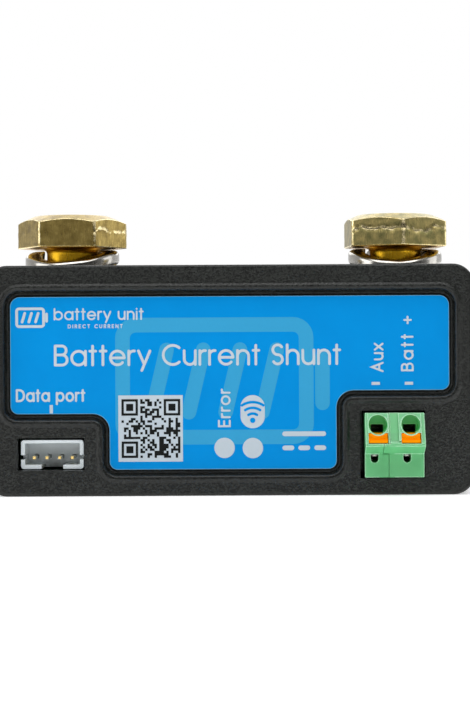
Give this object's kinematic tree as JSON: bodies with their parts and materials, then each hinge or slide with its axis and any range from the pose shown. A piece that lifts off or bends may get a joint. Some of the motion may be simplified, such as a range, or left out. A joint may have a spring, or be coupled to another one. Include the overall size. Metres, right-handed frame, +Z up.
{
  "type": "battery monitor shunt",
  "caption": "Battery monitor shunt: brass bolt terminals joined by resistor strips on a base with mounting ears, under a black housing with a data header and a push-in terminal.",
  "frame": {"origin": "centre of the underside of the base, midway between the two terminal bolts", "axes": "+X to the right along the housing, from the data header to the push-in terminal; +Y from the labelled front to the back; +Z up, away from the mounting surface"},
  "size_m": [0.12, 0.054, 0.0455],
  "materials": {
    "black_plastic": "spark-eroded matt black moulding",
    "blue_film": "printed blue film, satin",
    "brass_block": "milled brass",
    "brass_bolt": "worn bright brass",
    "stainless": "bright stainless steel",
    "resistor_alloy": "copper-coloured resistance alloy strip",
    "board_laminate": "green circuit board laminate",
    "tinned_metal": "tinned metal",
    "chip_resin": "black moulding resin",
    "header_nylon": "off-white nylon",
    "gilt_pin": "gilt",
    "led_resin": "pale lamp resin",
    "light_pipe_resin": "clear moulded light pipe",
    "terminal_green": "green polyamide",
    "button_orange": "orange polyamide"
  },
  "bodies": {
    "shunt": {"front_cover": "black_plastic", "rear_shell": "black_plastic", "base_plate": "black_plastic", "label": "blue_film", "terminal_block_left": "brass_block", "terminal_block_right": "brass_block", "resistor_strip_1": "resistor_alloy", "resistor_strip_2": "resistor_alloy", "resistor_strip_3": "resistor_alloy", "resistor_strip_4": "resistor_alloy", "sense_standoff_left": "brass_block", "sense_standoff_right": "brass_block", "sense_screw_left": "stainless", "sense_screw_right": "stainless", "shell_screw_left": "stainless", "shell_screw_right": "stainless", "block_screw_left_front": "stainless", "block_screw_left_rear": "stainless", "block_screw_right_front": "stainless", "block_screw_right_rear": "stainless", "circuit_board": "board_laminate", "wireless_module": "board_laminate", "module_shield": "tinned_metal", "microcontroller": "chip_resin", "power_inductor": "chip_resin", "fuse": "header_nylon", "capacitor": "tinned_metal", "led_error": "led_resin", "led_status": "led_resin", "light_pipe_error": "light_pipe_resin", "light_pipe_status": "light_pipe_resin", "data_header": "header_nylon", "header_pin_1": "gilt_pin", "header_pin_2": "gilt_pin", "header_pin_3": "gilt_pin", "header_pin_4": "gilt_pin", "terminal_module_aux": "terminal_green", "terminal_module_battery": "terminal_green", "clamp_spring_aux": "stainless", "clamp_spring_battery": "stainless", "contact_bar_aux": "tinned_metal", "contact_bar_battery": "tinned_metal"},
    "left_washer": {"spring_washer_left": "stainless"},
    "left_bolt": {"terminal_bolt_left": "brass_bolt"},
    "right_washer": {"spring_washer_right": "stainless"},
    "right_bolt": {"terminal_bolt_right": "brass_bolt"},
    "aux_button": {"release_button_aux": "button_orange"},
    "battery_button": {"release_button_battery": "button_orange"}
  },
  "joints": [
    {"name": "left_bolt_turn", "type": "hinge", "parent": "shunt", "child": "left_washer", "pos_m": [-0.0275, 0, 0.035], "axis": [0, 0, 1], "range_deg": [0, 3985]},
    {"name": "left_bolt_rise", "type": "slide", "parent": "left_washer", "child": "left_bolt", "axis": [0, 0, 1], "range_m": [0, 0.0165]},
    {"name": "right_bolt_turn", "type": "hinge", "parent": "shunt", "child": "right_washer", "pos_m": [0.0275, 0, 0.035], "axis": [0, 0, 1], "range_deg": [0, 3985]},
    {"name": "right_bolt_rise", "type": "slide", "parent": "right_washer", "child": "right_bolt", "axis": [0, 0, 1], "range_m": [0, 0.0165]},
    {"name": "aux_release_press", "type": "slide", "parent": "shunt", "child": "aux_button", "axis": [0, 1, 0], "range_m": [0, 0.0011], "stiffness_N_per_m": 2000, "springref_m": -0.0004},
    {"name": "battery_release_press", "type": "slide", "parent": "shunt", "child": "battery_button", "axis": [0, 1, 0], "range_m": [0, 0.0011], "stiffness_N_per_m": 2000, "springref_m": -0.0004}
  ],
  "couplings": [
    {"joint": "left_bolt_turn", "follows": "left_bolt_rise", "rad_per_m": 4188.8},
    {"joint": "right_bolt_turn", "follows": "right_bolt_rise", "rad_per_m": 4188.8}
  ]
}
